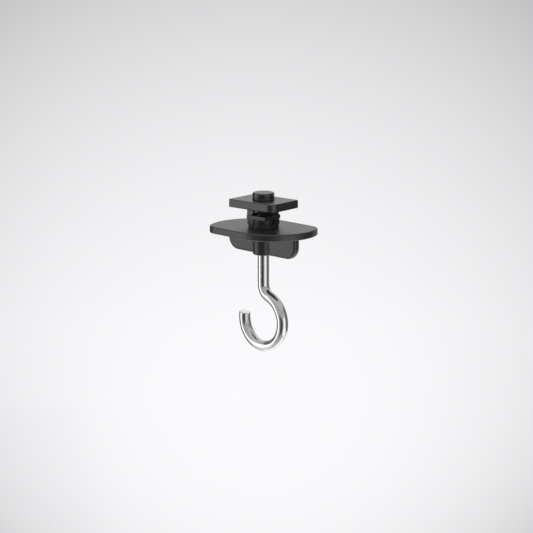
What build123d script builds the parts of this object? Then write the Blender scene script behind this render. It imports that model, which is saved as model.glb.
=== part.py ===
from build123d import *
import math
import os

# Rail hook for a lighting track: a quarter-turn locking head on a guide neck, a cover flange
# with a finger wing and a boss under it, and a bent wire hook screwed up through the middle.
# Millimetres. The origin is the centre of the flange's top face, which meets the track, and
# +Z points up into the track. The wing, the long side of the locking plate and the plane of
# the hook all lie along X.

# Clearances
fit_gap = 0.05          # radial or side play between pieces that seat in each other
thread_gap = 0.04       # play between a plain stem and the plain bore that stand for a thread
overcut = 1.0           # how far a cutting form runs past the face it opens

# Wire hook
wire_d = 4.0
eye_inner_d = 14.8      # clear width inside the eye
bend_r = 4.6            # centreline radius of the bend that leads the stem into the eye
eye_drop = 33.6         # centre of the eye below the flange's top face
tip_rise = 9.8          # degrees that the cut tip stands above the eye's centre
tip_bevel = 0.2         # chamfer round the cut end
stem_bevel = 0.4        # chamfer at the threaded end

# Cover flange
flange_length = 36.2    # along X, over the two curved ends
flange_width = 26.2     # between the two straight sides
flange_end_r = 15.6     # each end arc runs smoothly into one side and meets the other at a corner
flange_corner_r = 5.5
flange_thick = 2.5
flange_top_round = 0.45
flange_low_round = 0.45

# Finger wing and boss under the flange
wing_length = 33.0
wing_depth = 7.3
wing_thick = 2.6
wing_corner_r = 4.5     # the two lower corners, seen from the side
wing_edge_round = 0.9
wing_draft = 1.0        # degrees that each face of the wing leans in towards its lower edge
boss_d = 7.4
boss_round = 0.4

# Threaded insert moulded into the boss
insert_d = 5.8
insert_length = 5.2
insert_floor = 1.1      # plastic under the insert
insert_waist_d = 5.1
insert_waist = 1.2

# Guide collar, square with two opposite corners rounded off
neck_side = 8.1
neck_round_d = 7.6      # the round form that shows where a corner is rounded off
neck_lug = 2.7          # width of a square corner's lug along each side
collar_height = 4.25    # top of the square band above the flange
band_side = 8.3
band_thick = 1.35
foot_d = 8.5
foot_side = 7.5         # over the foot's own two corner lugs
foot_height = 0.85
foot_round = 0.25
key_side = 6.4          # square key under the collar, which sits in the flange
key_depth = 1.2
neck_step = 0.1         # the neck under the band stands in by this much
neck_soft = 0.15        # softened edges of the band

# Locking head
plate_length = 19.9
plate_width = 14.1
plate_thick = 2.9
plate_turn_r = 2.6      # the two corners that clear the track as the head turns
plate_stop_r = 0.4      # the two corners that stop the turn
plate_edge_round = 0.35
plate_seat = 6.7        # underside of the plate above the flange
notch_height = 1.3      # slot between the band and the head's block
notch_relief = 0.5      # depth of the slot where it runs out past a square corner
notch_core_d = 5.2      # round core of the head at the slot's roof
notch_core_low_d = 6.6  # the core flares down to this at the slot's floor
post_width = 1.4        # a post that stands on the band, where it meets the band
hub_side = 4.9          # square hub that keys the head to the collar
hub_depth = 3.4         # depth of the hub inside the collar
hub_corner_r = 0.4
head_turn = 4.5         # degrees that the head and collar stand round from the flange

# Cap nut and its washer on top
cap_d = 7.6
cap_height = 2.05
cap_top_round = 0.5
cap_roof = 0.9          # solid metal over the end of the thread
spigot_d = 5.2
spigot_length = 3.3     # below the washer's top face
washer_d = 7.8
washer_thick = 0.45
washer_round = 0.18

# Worked out from the sizes above
plate_top = plate_seat + plate_thick
cap_seat = plate_top + washer_thick
cap_top = cap_seat + cap_height
stem_top = cap_top - cap_roof
stem_bore_d = wire_d + 2 * thread_gap
wing_bottom = -flange_thick - wing_depth
insert_bottom = wing_bottom + insert_floor
eye_r = (eye_inner_d + wire_d) / 2
notch_floor = collar_height
notch_roof = collar_height + notch_height


def cylinder_between(diameter, low, high):
    """Upright cylinder on the axis from height low to height high."""
    shape = Cylinder(diameter / 2, high - low, align=(Align.CENTER, Align.CENTER, Align.MIN))
    return Pos(0, 0, low) * shape


def block_between(side, low, high, corner_r=0.0):
    """Upright square block on the axis from height low to height high."""
    outline = Rectangle(side, side)
    if corner_r > 0:
        outline = fillet(outline.vertices(), corner_r)
    return extrude(Pos(0, 0, low) * outline, high - low)


def stop_corners(outline):
    """The two square corners of an outline, those where x and y have the same sign."""
    return [v for v in outline.vertices() if v.X * v.Y > 0]


def turn_corners(outline):
    """The two rounded corners of an outline, those where x and y have opposite signs."""
    return [v for v in outline.vertices() if v.X * v.Y < 0]


def edges_at(part, height):
    """The edges of a part that lie in the level plane at a height."""
    return part.edges().filter_by_position(Axis.Z, height - 0.001, height + 0.001)


def outer_edges_at(part, height):
    """The edges round the outer wire of the level face at a height."""
    face = part.faces().filter_by(Axis.Z).filter_by_position(Axis.Z, height - 0.001, height + 0.001)
    return face.sort_by(SortBy.AREA)[-1].outer_wire().edges()


def hook_path():
    """Centreline of the hook: straight stem, bend, and the eye round to the cut tip."""
    reach = eye_r + bend_r
    bend_z = -eye_drop + math.sqrt(reach ** 2 - bend_r ** 2)
    turn = math.degrees(math.atan2(bend_z + eye_drop, bend_r))
    stem = Line((0, 0, stem_top), (0, 0, bend_z))
    frame = Plane.XZ
    bend = frame * CenterArc((bend_r, bend_z), bend_r, 180, turn)
    eye = frame * CenterArc((0, -eye_drop), eye_r, turn, -(180 + turn + tip_rise))
    return Wire([*stem.edges(), *bend.edges(), *eye.edges()])


def make_hook():
    """Bent round wire, threaded at its upper end and cut square at its tip."""
    path = hook_path()
    section = Plane((0, 0, stem_top), z_dir=(0, 0, -1)) * Circle(wire_d / 2)
    hook = sweep(section, path=path)
    top_rim = edges_at(hook, stem_top)
    hook = chamfer(top_rim, stem_bevel)
    tip = path @ 1
    tip_face = hook.faces().filter_by(GeomType.PLANE).sort_by_distance(tip)[0]
    return chamfer(tip_face.edges(), tip_bevel)


def flange_outline():
    """Plan of the flange, the same after half a turn: an end arc leads into the next side."""
    half = flange_width / 2
    along = flange_length / 2 - flange_end_r
    across = flange_end_r - half
    rise = math.degrees(math.asin((half - across) / flange_end_r))
    right_end = CenterArc((along, across), flange_end_r, -90, 90 + rise)
    left_end = Rot(0, 0, 180) * right_end
    near_side = Line(left_end @ 1, right_end @ 0)
    far_side = Line(right_end @ 1, left_end @ 0)
    outline = make_face([*right_end.edges(), *far_side.edges(), *left_end.edges(), *near_side.edges()])
    return fillet(stop_corners(outline), flange_corner_r)


def wing():
    """Thin finger wing under the flange, with rounded lower corners and softened edges."""
    side = Rectangle(wing_length, wing_depth + flange_thick / 2, align=(Align.CENTER, Align.MIN))
    side = fillet(side.vertices().group_by(Axis.Y)[0], wing_corner_r)
    side = Plane.XZ * Pos(0, wing_bottom) * side
    blade = extrude(side, wing_thick / 2, both=True, taper=wing_draft)
    rims = [face.outer_wire().edges() for face in blade.faces().filter_by(Axis.Y)]
    low = [e for rim in rims for e in rim if e.center().Z < -flange_thick / 2 - 0.01]
    return fillet(low, wing_edge_round)


def insert_profile(play):
    """Half section of the insert's outside, grown by a play all round."""
    r = insert_d / 2 + play
    waist_r = insert_waist_d / 2 + play
    waist_low = insert_bottom + (insert_length - insert_waist) / 2 + play
    waist_high = insert_bottom + (insert_length + insert_waist) / 2 - play
    low = insert_bottom - play
    high = insert_bottom + insert_length + play
    return make_face(Plane.XZ * Polyline(
        (0, low), (r, low), (r, waist_low), (waist_r, waist_low),
        (waist_r, waist_high), (r, waist_high), (r, high), (0, high), close=True))


def make_threaded_insert():
    """Brass insert held in the boss by its waist, with a plain bore for the thread."""
    insert = revolve(insert_profile(0), Axis.Z)
    insert_top = insert_bottom + insert_length
    return insert - cylinder_between(stem_bore_d, insert_bottom - overcut, insert_top + overcut)


def make_cover_flange():
    """Flange, wing and boss in one moulding, bored for the hook and the insert."""
    flange = extrude(Pos(0, 0, -flange_thick) * flange_outline(), flange_thick)
    flange = fillet(edges_at(flange, 0), flange_top_round)
    flange = fillet(edges_at(flange, -flange_thick), flange_low_round)
    boss = cylinder_between(boss_d, wing_bottom, -flange_thick / 2)
    boss = fillet(edges_at(boss, wing_bottom), boss_round)
    cover = flange + wing() + boss
    cover -= Rot(0, 0, head_turn) * block_between(key_side + 2 * fit_gap, -key_depth - fit_gap, overcut)
    cover -= revolve(insert_profile(fit_gap), Axis.Z)
    return cover - cylinder_between(stem_bore_d, wing_bottom - overcut, overcut)


def neck_section(low, high, side):
    """Neck with two square corner lugs and a round form where the other corners were."""
    half = side / 2
    core = cylinder_between(neck_round_d, low, high)
    lug = Rectangle(neck_lug, neck_lug, align=(Align.MAX, Align.MAX))
    corner = extrude(Pos(half, half, low) * lug, high - low)
    return core + corner + Rot(0, 0, 180) * corner


def make_guide_collar():
    """Lugged foot and neck under a full square band, keyed into the flange below."""
    band_low = collar_height - band_thick
    band = block_between(band_side, band_low, collar_height)
    band = fillet(outer_edges_at(band, collar_height), neck_soft)
    collar = neck_section(foot_height, band_low, neck_side - 2 * neck_step) + band
    foot = cylinder_between(foot_d, 0, foot_height)
    collar += fillet(edges_at(foot, foot_height), foot_round)
    collar += neck_section(0, foot_height, foot_side)
    collar += block_between(key_side, -key_depth, 0)
    socket_floor = collar_height - hub_depth - fit_gap
    collar -= block_between(hub_side + 2 * fit_gap, socket_floor, collar_height + overcut, hub_corner_r)
    return collar - cylinder_between(stem_bore_d, -key_depth - overcut, collar_height)


def notch_cutter():
    """Slot from a post's ramp round one rounded corner."""
    reach = neck_side
    ramp = Polyline(
        (-neck_side / 2 + post_width, notch_floor), (reach, notch_floor),
        (reach, notch_roof), (0, notch_roof), close=True)
    return extrude(make_face(Plane.XZ * ramp), reach)


def relief_cutter():
    """Shallow run-out of the front slot past the next square corner."""
    relief = Box(neck_side, 2 * neck_side, notch_height, align=(Align.MIN, Align.CENTER, Align.MIN))
    return Pos(neck_side / 2 - notch_relief, 0, notch_floor) * relief


def make_locking_head():
    """Locking plate with its block, the two posts on the band and the square hub."""
    outline = Rectangle(plate_length, plate_width)
    outline = fillet(turn_corners(outline), plate_turn_r)
    outline = fillet(stop_corners(outline), plate_stop_r)
    plate = extrude(Pos(0, 0, plate_seat) * outline, plate_thick)
    plate = fillet(edges_at(plate, plate_top) + edges_at(plate, plate_seat), plate_edge_round)
    block = neck_section(notch_floor, plate_seat, neck_side)
    notch = notch_cutter()
    block -= notch
    block -= Rot(0, 0, 180) * notch
    block -= relief_cutter()
    hub = block_between(hub_side, collar_height - hub_depth, notch_floor, hub_corner_r)
    on_floor = (Align.CENTER, Align.CENTER, Align.MIN)
    core = Pos(0, 0, notch_floor) * Cone(notch_core_low_d / 2, notch_core_d / 2, notch_height, align=on_floor)
    head = plate + block + core + hub
    head -= cylinder_between(stem_bore_d, 0, plate_top + overcut)
    spigot_low = cap_seat - spigot_length - fit_gap
    return head - cylinder_between(spigot_d + 2 * fit_gap, spigot_low, plate_top + overcut)


def make_cap_washer():
    """Thin washer between the cap nut and the plate."""
    washer = cylinder_between(washer_d, plate_top, cap_seat)
    washer = fillet(edges_at(washer, plate_top) + edges_at(washer, cap_seat), washer_round)
    return washer - cylinder_between(spigot_d + 2 * fit_gap, plate_top - overcut, cap_seat + overcut)


def make_cap_nut():
    """Round cap nut with a spigot sunk in the plate and a blind bore for the thread."""
    cap = cylinder_between(cap_d, cap_seat, cap_top)
    cap = fillet(edges_at(cap, cap_top), cap_top_round)
    cap += cylinder_between(spigot_d, cap_seat - spigot_length, cap_seat)
    return cap - cylinder_between(stem_bore_d, cap_seat - spigot_length - overcut, stem_top + fit_gap)


pieces = {
    "hook": make_hook(),
    "cover_flange": make_cover_flange(),
    "threaded_insert": make_threaded_insert(),
    "guide_collar": Rot(0, 0, head_turn) * make_guide_collar(),
    "locking_head": Rot(0, 0, head_turn) * make_locking_head(),
    "cap_washer": make_cap_washer(),
    "cap_nut": make_cap_nut(),
}

os.makedirs("parts", exist_ok=True)
for name, piece in pieces.items():
    piece.label = name
    export_step(piece, f"parts/{name}.step")
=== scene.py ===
import math
import bmesh
import bpy
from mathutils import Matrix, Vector

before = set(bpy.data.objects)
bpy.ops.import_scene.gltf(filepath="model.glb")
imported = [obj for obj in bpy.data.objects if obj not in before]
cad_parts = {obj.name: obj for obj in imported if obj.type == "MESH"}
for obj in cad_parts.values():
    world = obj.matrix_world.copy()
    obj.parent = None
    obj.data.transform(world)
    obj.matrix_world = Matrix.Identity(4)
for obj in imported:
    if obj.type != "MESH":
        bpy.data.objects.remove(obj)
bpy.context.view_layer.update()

# The camera stands off the near corner and looks a little down. Its distance follows from the
# size of one pixel at the object.
CAMERA_TURN = math.radians(45.0)
CAMERA_PITCH = math.radians(12.1)
PHOTO_WIDTH_PX = 533
FOCAL_PX = 2100
PIXEL = 0.00035
CAMERA_DISTANCE = FOCAL_PX * PIXEL
SENSOR_MM = 36.0
AIM_HEIGHT = -0.0143
AIM_RIGHT = 0.00105

# The studio, a round sweep of paper
STUDIO_RADIUS = 1.6
STUDIO_FLOOR = -0.30
STUDIO_RIM = 1.1
STUDIO_CURVE = 0.5
STUDIO_CURVE_STEPS = 16
STUDIO_SIDES = 96
WELD = 0.00001
PAPER_GREY = 0.02

# The painted pool of light: the paper behind the object glows, brightest in a round pool, as painted
# light and not from the lamps
PALE = (0.992, 0.992, 1.01)
POOL_PAINTED_GLOW = 0.928
POOL_EDGE_PAINTED_GLOW = 0.52
POOL_AZIMUTH = 180.6
POOL_PITCH = math.radians(18.8)
POOL_REACH = math.radians(20.3)
POOL_FALL = 2.7
POOL_TALLER = 0.887     # heights count for less, so the pool is taller than it is wide

# Dark screens that only reflections see. Each has a foot that lies on the floor and reaches
# from its distance in to the foot's own.
SCREENS = {
    "screen_front": dict(start=-46, end=6, distance=0.62, top=0.02, foot=0.34, grey=0.12),
    "screen_right": dict(start=78, end=124, distance=0.85, top=0.45, foot=0.20, grey=0.20),
    "screen_back_left": dict(start=-170, end=-108, distance=0.85, top=0.45, foot=0.20, grey=0.15),
}
SCREEN_LOW = -0.285
SCREEN_STEPS = 12

# Soft boxes that face the object, each at the height of its middle
SOFT_BOXES = {
    "left_box": dict(azimuth=-88, distance=0.8, middle=0.0, width=0.42, height=0.7, brightness=1.2),
    "right_box": dict(azimuth=40, distance=0.9, middle=-0.08, width=0.56, height=0.5, brightness=0.70),
    "top_box": dict(azimuth=0, distance=0.0, middle=1.0, width=0.8, height=0.8, brightness=0.6),
    "back_box": dict(azimuth=180, distance=1.2, middle=0.50, width=1.6, height=0.6, brightness=0.5),
}
SOFT_BOX_AIM = Vector((0, 0, -0.01))

# Round lights that lie just over the floor and shine up
FLOOR_LIGHTS = {
    "low_light": dict(azimuth=145, distance=0.22, diameter=0.7, brightness=0.5),
    "left_light": dict(azimuth=-96, distance=0.38, diameter=0.34, brightness=0.34),
    "near_light": dict(azimuth=42, distance=0.52, diameter=0.56, brightness=0.55),
}
FLOOR_LIGHT_HEIGHT = -0.28
LIGHT_WATTS = 4.0       # for each square metre of a light's width times height, at brightness 1
SURROUND_COLOUR = (0.95, 0.94, 0.93, 1)
SURROUND_LIGHT = 0.74

# The part of a noise's range that a finish uses
NOISE_LOW = 0.3
NOISE_HIGH = 0.7


def camera_back():
    """Unit vector from the object to the camera."""
    level = Vector((math.sin(CAMERA_TURN), -math.cos(CAMERA_TURN), 0.0))
    return level * math.cos(CAMERA_PITCH) + Vector((0, 0, math.sin(CAMERA_PITCH)))


def camera_right():
    """Unit vector to the right in the picture."""
    return Vector((math.cos(CAMERA_TURN), math.sin(CAMERA_TURN), 0.0))


def around(azimuth, distance, height):
    """Place at an azimuth, a level distance from the axis and a height."""
    angle = CAMERA_TURN + math.radians(azimuth)
    return Vector((math.sin(angle) * distance, -math.cos(angle) * distance, height))


def make_camera():
    """The camera at the photograph's place."""
    data = bpy.data.cameras.new("camera")
    data.sensor_width = SENSOR_MM
    data.lens = FOCAL_PX / PHOTO_WIDTH_PX * SENSOR_MM
    data.clip_start = 0.01
    data.clip_end = 50
    camera = bpy.data.objects.new("camera", data)
    aim = Vector((0, 0, AIM_HEIGHT)) + camera_right() * AIM_RIGHT
    camera.location = aim + camera_back() * CAMERA_DISTANCE
    camera.rotation_euler = (-camera_back()).to_track_quat("-Z", "Y").to_euler()
    bpy.context.scene.collection.objects.link(camera)
    bpy.context.scene.camera = camera


def new_material(name):
    """A material with a plain shader, and that shader."""
    material = bpy.data.materials.new(name)
    material.use_nodes = True
    return material, material.node_tree.nodes["Principled BSDF"]


def stage_mesh(name, mesh, material):
    """An object of the stage, made from a mesh that is being edited."""
    data = bpy.data.meshes.new(name)
    mesh.to_mesh(data)
    mesh.free()
    data.materials.append(material)
    thing = bpy.data.objects.new(name, data)
    bpy.context.scene.collection.objects.link(thing)
    return thing


def make_studio():
    """A round floor that curves up into a wall all round, pale only by its painted glow."""
    flat = STUDIO_RADIUS - STUDIO_CURVE
    profile = [(0.0, STUDIO_FLOOR), (flat, STUDIO_FLOOR)]
    for i in range(1, STUDIO_CURVE_STEPS + 1):
        turn = math.pi / 2 * i / STUDIO_CURVE_STEPS
        rise = STUDIO_CURVE * (1 - math.cos(turn))
        profile.append((flat + STUDIO_CURVE * math.sin(turn), STUDIO_FLOOR + rise))
    profile.append((STUDIO_RADIUS, STUDIO_RIM))
    mesh = bmesh.new()
    verts = [mesh.verts.new((r, 0, z)) for r, z in profile]
    edges = [mesh.edges.new(pair) for pair in zip(verts, verts[1:])]
    bmesh.ops.spin(mesh, geom=verts + edges, cent=(0, 0, 0), axis=(0, 0, 1),
                   angle=2 * math.pi, steps=STUDIO_SIDES)
    bmesh.ops.remove_doubles(mesh, verts=mesh.verts, dist=WELD)
    studio = stage_mesh("studio", mesh, painted_glow_paper())
    studio.data.shade_smooth()


def painted_glow_paper():
    """Paper that glows with painted light, brightest in a painted pool behind the object."""
    material, shader = new_material("painted_glow_paper")
    tree = material.node_tree
    place = tree.nodes.new("ShaderNodeTexCoord")
    squash = tree.nodes.new("ShaderNodeVectorMath")
    squash.operation = "MULTIPLY"
    squash.inputs[1].default_value = (1, 1, POOL_TALLER)
    unit = tree.nodes.new("ShaderNodeVectorMath")
    unit.operation = "NORMALIZE"
    facing = tree.nodes.new("ShaderNodeVectorMath")
    facing.operation = "DOT_PRODUCT"
    facing.inputs[1].default_value = around(POOL_AZIMUTH, math.cos(POOL_PITCH), -math.sin(POOL_PITCH))
    angle = tree.nodes.new("ShaderNodeMath")
    angle.operation = "ARCCOSINE"
    power = tree.nodes.new("ShaderNodeMath")
    power.operation = "POWER"
    power.inputs[1].default_value = POOL_FALL
    fall = tree.nodes.new("ShaderNodeMapRange")
    fall.inputs["From Max"].default_value = POOL_REACH ** POOL_FALL
    fall.inputs["To Min"].default_value = POOL_PAINTED_GLOW
    fall.inputs["To Max"].default_value = POOL_EDGE_PAINTED_GLOW
    tree.links.new(place.outputs["Object"], squash.inputs[0])
    tree.links.new(squash.outputs["Vector"], unit.inputs[0])
    tree.links.new(unit.outputs["Vector"], facing.inputs[0])
    tree.links.new(facing.outputs["Value"], angle.inputs[0])
    tree.links.new(angle.outputs["Value"], power.inputs[0])
    tree.links.new(power.outputs["Value"], fall.inputs["Value"])
    # Painted light: the paper's glow is a painted pool, brighter behind the object, standing in for
    # lamplight on it
    tree.links.new(fall.outputs["Result"], shader.inputs["Emission Strength"])
    shader.inputs["Emission Color"].default_value = (*PALE, 1)
    shader.inputs["Base Color"].default_value = (PAPER_GREY, PAPER_GREY, PAPER_GREY, 1)
    shader.inputs["Roughness"].default_value = 1.0
    return material


def make_screen(name, start, end, distance, top, foot, grey):
    """A dark screen, curved round the object, seen only in its reflections."""
    material, shader = new_material(name)
    shader.inputs["Base Color"].default_value = (grey, grey, grey, 1)
    shader.inputs["Roughness"].default_value = 1.0
    profile = [(foot, SCREEN_LOW), (distance, SCREEN_LOW), (distance, top)]
    mesh = bmesh.new()
    columns = []
    for i in range(SCREEN_STEPS + 1):
        azimuth = start + (end - start) * i / SCREEN_STEPS
        columns.append([mesh.verts.new(around(azimuth, r, z)) for r, z in profile])
    for left, right in zip(columns, columns[1:]):
        for i in range(len(profile) - 1):
            mesh.faces.new((left[i], right[i], right[i + 1], left[i + 1]))
    screen = stage_mesh(name, mesh, material)
    screen.visible_camera = False


def area_light(name, place, aim, width, height, brightness, shape):
    """A soft light at a place, turned to an aim, that the camera doesn't see."""
    data = bpy.data.lights.new(name, "AREA")
    data.shape = shape
    data.size = width
    data.size_y = height
    data.energy = LIGHT_WATTS * width * height * brightness
    light = bpy.data.objects.new(name, data)
    light.location = place
    light.rotation_euler = (place - aim).to_track_quat("Z", "Y").to_euler()
    light.visible_camera = False
    bpy.context.scene.collection.objects.link(light)


def make_soft_box(name, azimuth, distance, middle, width, height, brightness):
    """A rectangular soft box that faces the object."""
    place = around(azimuth, distance, middle)
    area_light(name, place, SOFT_BOX_AIM, width, height, brightness, "RECTANGLE")


def make_floor_light(name, azimuth, distance, diameter, brightness):
    """A round light over the floor that shines up."""
    place = around(azimuth, distance, FLOOR_LIGHT_HEIGHT)
    above = place + Vector((0, 0, 1))
    area_light(name, place, above, diameter, diameter, brightness, "ELLIPSE")


def make_surround():
    """An even pale surround over the studio's rim."""
    world = bpy.data.worlds.new("surround")
    world.use_nodes = True
    background = world.node_tree.nodes["Background"]
    background.inputs["Color"].default_value = SURROUND_COLOUR
    background.inputs["Strength"].default_value = SURROUND_LIGHT
    bpy.context.scene.world = world


def noise(tree, cycles, detail, stretch):
    """Noise over the object's own coordinates: cycles a metre, detail and squeeze along Z."""
    place = tree.nodes.new("ShaderNodeTexCoord")
    mapping = tree.nodes.new("ShaderNodeMapping")
    mapping.inputs["Scale"].default_value = (1, 1, stretch)
    texture = tree.nodes.new("ShaderNodeTexNoise")
    texture.inputs["Scale"].default_value = cycles
    texture.inputs["Detail"].default_value = detail
    tree.links.new(place.outputs["Object"], mapping.inputs["Vector"])
    tree.links.new(mapping.outputs["Vector"], texture.inputs["Vector"])
    return texture.outputs["Fac"]


def between_values(tree, source, low, high):
    """Maps a noise to a number from low to high."""
    node = tree.nodes.new("ShaderNodeMapRange")
    node.inputs["From Min"].default_value = NOISE_LOW
    node.inputs["From Max"].default_value = NOISE_HIGH
    node.inputs["To Min"].default_value = low
    node.inputs["To Max"].default_value = high
    tree.links.new(source, node.inputs["Value"])
    return node.outputs["Result"]


def between_colours(tree, source, dark, light):
    """Maps a noise to a colour from dark to light."""
    ramp = tree.nodes.new("ShaderNodeValToRGB")
    first, last = ramp.color_ramp.elements
    first.position = NOISE_LOW
    last.position = NOISE_HIGH
    first.color = (*dark, 1)
    last.color = (*light, 1)
    tree.links.new(source, ramp.inputs["Fac"])
    return ramp.outputs["Color"]


def make_finish(name, colours, tone, roughness, gloss, grain, grain_depth, metallic=0.0, ior=1.5):
    """A finish: fine noise mixes two colours and two roughnesses, and raises a grain in metres.

    tone, gloss and grain are the noises of the three, each as noise takes them.
    """
    material, shader = new_material(name)
    tree = material.node_tree
    colour = between_colours(tree, noise(tree, *tone), *colours)
    tree.links.new(colour, shader.inputs["Base Color"])
    tree.links.new(between_values(tree, noise(tree, *gloss), *roughness), shader.inputs["Roughness"])
    shader.inputs["Metallic"].default_value = metallic
    shader.inputs["IOR"].default_value = ior
    bump = tree.nodes.new("ShaderNodeBump")
    bump.inputs["Strength"].default_value = 1.0
    bump.inputs["Distance"].default_value = grain_depth
    tree.links.new(noise(tree, *grain), bump.inputs["Height"])
    tree.links.new(bump.outputs["Normal"], shader.inputs["Normal"])
    return material


def black_moulding():
    """Satin black moulded plastic with a very fine spark texture."""
    return make_finish(
        "black_moulding", ior=1.6,
        colours=((0.009, 0.009, 0.0095), (0.013, 0.013, 0.0135)), tone=(900, 4, 1),
        roughness=(0.34, 0.42), gloss=(2600, 2, 1),
        grain=(9000, 2, 1), grain_depth=0.000012)


def black_metal():
    """Satin black coated metal, a little smoother than the moulding."""
    return make_finish(
        "black_metal", ior=1.62,
        colours=((0.009, 0.009, 0.0095), (0.014, 0.014, 0.0145)), tone=(1400, 4, 1),
        roughness=(0.30, 0.38), gloss=(3200, 2, 1),
        grain=(12000, 2, 1), grain_depth=0.000008)


def bright_wire():
    """Bright plated wire, very slightly uneven."""
    return make_finish(
        "bright_wire", metallic=1.0,
        colours=((0.60, 0.595, 0.59), (0.66, 0.655, 0.65)), tone=(500, 3, 1),
        roughness=(0.15, 0.20), gloss=(700, 3, 1),
        grain=(1200, 2, 1), grain_depth=0.0000005)


def brass():
    """Turned brass of the hidden insert."""
    return make_finish(
        "brass", metallic=1.0,
        colours=((0.62, 0.44, 0.18), (0.72, 0.54, 0.26)), tone=(1200, 3, 6),
        roughness=(0.25, 0.40), gloss=(2500, 3, 6),
        grain=(4000, 2, 8), grain_depth=0.00001)


def dress_nodes():
    """Gives every piece its material."""
    moulding = black_moulding()
    metal = black_metal()
    finish = {
        "hook": bright_wire(),
        "cover_flange": moulding,
        "guide_collar": moulding,
        "locking_head": metal,
        "cap_washer": metal,
        "cap_nut": metal,
        "threaded_insert": brass(),
    }
    for name, material in finish.items():
        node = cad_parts[name]
        node.data.materials.clear()
        node.data.materials.append(material)


make_camera()
make_studio()
for screen_name, screen in SCREENS.items():
    make_screen(screen_name, **screen)
for box_name, box in SOFT_BOXES.items():
    make_soft_box(box_name, **box)
for light_name, floor_light in FLOOR_LIGHTS.items():
    make_floor_light(light_name, **floor_light)
make_surround()
dress_nodes()
bpy.context.scene.view_settings.view_transform = "Standard"
